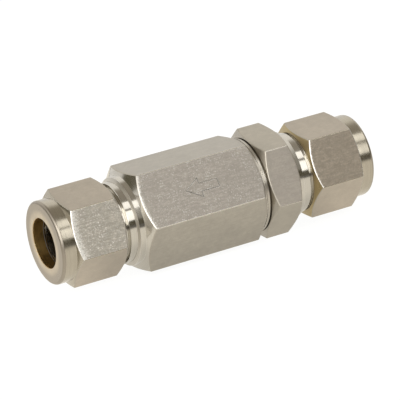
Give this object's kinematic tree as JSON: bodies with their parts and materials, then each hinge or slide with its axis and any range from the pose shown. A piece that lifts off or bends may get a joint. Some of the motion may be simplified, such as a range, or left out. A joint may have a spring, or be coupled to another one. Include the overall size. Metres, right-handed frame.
{
  "type": "in-line poppet check valve",
  "caption": "In-line spring-loaded poppet check valve with a hexagonal body, a screwed-in end cap and a twin-ferrule compression fitting for tube at each end.",
  "frame": {"origin": "on the valve's axis, at mid-length between the outer faces of the two nuts", "axes": "+X along the valve from the outlet end to the inlet end, against the flow; +Z along the outward normal of one flat of the long hexagonal body"},
  "size_m": [0.09, 0.0292, 0.0282],
  "materials": {
    "stainless_body": "satin bar stock",
    "stainless_nut": "satin machined",
    "stainless_turned": "fine turned",
    "spring_steel": "drawn wire",
    "seal_rubber": "matt",
    "seal_plastic": "smooth"
  },
  "bodies": {
    "housing": {"valve_body": "stainless_body", "inlet_cap": "stainless_body", "body_seal_ring": "seal_rubber", "backup_ring": "seal_plastic", "poppet_stop": "stainless_turned", "poppet_spring": "spring_steel"},
    "poppet_assembly": {"poppet": "stainless_turned", "poppet_seal_ring": "seal_rubber"},
    "outlet_ferrules": {"outlet_front_ferrule": "stainless_turned", "outlet_back_ferrule": "stainless_turned"},
    "outlet_nut": {"outlet_nut": "stainless_nut"},
    "inlet_ferrules": {"inlet_front_ferrule": "stainless_turned", "inlet_back_ferrule": "stainless_turned"},
    "inlet_nut": {"inlet_nut": "stainless_nut"}
  },
  "joints": [
    {"name": "poppet_lift", "type": "slide", "parent": "housing", "child": "poppet_assembly", "axis": [-1, 0, 0], "range_m": [0, 0.003], "stiffness_N_per_m": 55, "springref_m": -0.004, "deforming": ["poppet_spring"]},
    {"name": "outlet_nut_travel", "type": "slide", "parent": "housing", "child": "outlet_ferrules", "axis": [-1, 0, 0], "range_m": [0, 0.0064]},
    {"name": "outlet_nut_turn", "type": "hinge", "parent": "outlet_ferrules", "child": "outlet_nut", "pos_m": [-0.036, 0, 0], "axis": [-1, 0, 0], "range_deg": [0, 1800]},
    {"name": "inlet_nut_travel", "type": "slide", "parent": "housing", "child": "inlet_ferrules", "axis": [1, 0, 0], "range_m": [0, 0.0064]},
    {"name": "inlet_nut_turn", "type": "hinge", "parent": "inlet_ferrules", "child": "inlet_nut", "pos_m": [0.036, 0, 0], "axis": [1, 0, 0], "range_deg": [0, 1800]}
  ],
  "couplings": [
    {"joint": "outlet_nut_travel", "follows": "outlet_nut_turn", "m_per_rad": 0.00020213},
    {"joint": "inlet_nut_travel", "follows": "inlet_nut_turn", "m_per_rad": 0.00020213}
  ]
}
